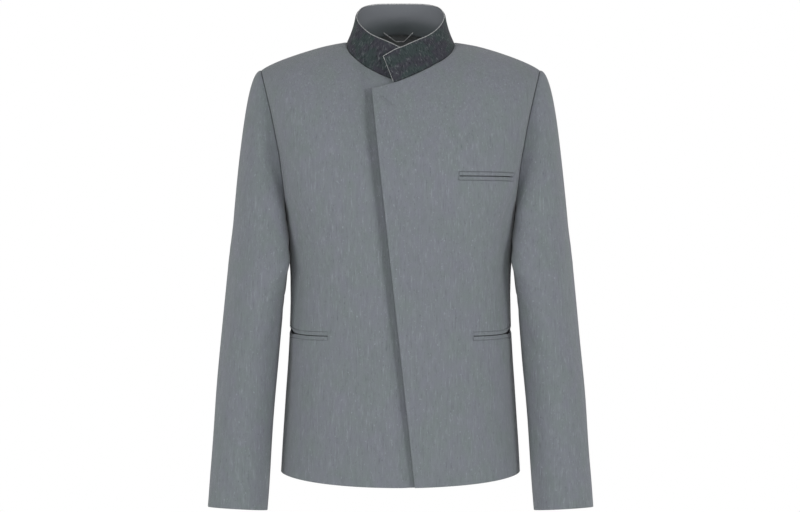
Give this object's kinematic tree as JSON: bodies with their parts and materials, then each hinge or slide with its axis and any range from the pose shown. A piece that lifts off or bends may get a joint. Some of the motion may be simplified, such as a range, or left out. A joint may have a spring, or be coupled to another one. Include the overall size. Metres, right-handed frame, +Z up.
{
  "type": "jacket",
  "caption": "Short tailored jacket with a stand collar, a slanting lapped front, two-piece sleeves and jetted pockets, hollow as when worn.",
  "frame": {"origin": "midway between the two side neck points, in the plane of the shoulder tips, where the jacket rests on the shoulders", "axes": "+Z up, the front of the jacket faces -Y, +X towards the wearer's left"},
  "size_m": [0.5702, 0.2401, 0.7642],
  "materials": {
    "wool_grey": "matte wool twill with a light heather",
    "wool_dark": "matte, rough wool with a raised chevron weave",
    "facing_grey": "smooth wool",
    "lining_dark": "smooth lining with a soft sheen",
    "trim_pale": "smooth cord"
  },
  "bodies": {
    "root": {"front_left": "wool_grey", "front_right": "wool_grey", "back_left": "wool_grey", "back_right": "wool_grey", "upper_sleeve_left": "wool_grey", "upper_sleeve_right": "wool_grey", "under_sleeve_left": "wool_grey", "under_sleeve_right": "wool_grey", "breast_jet_upper": "wool_grey", "breast_jet_lower": "wool_grey", "left_hip_jet_upper": "wool_grey", "left_hip_jet_lower": "wool_grey", "right_hip_jet_upper": "wool_grey", "right_hip_jet_lower": "wool_grey", "breast_pocket_backing": "lining_dark", "left_hip_pocket_backing": "lining_dark", "right_hip_pocket_backing": "lining_dark", "collar_outer": "wool_dark", "collar_facing": "facing_grey", "collar_piping": "trim_pale", "neck_lining": "lining_dark", "hanger_loop": "trim_pale"}
  },
  "joints": []
}
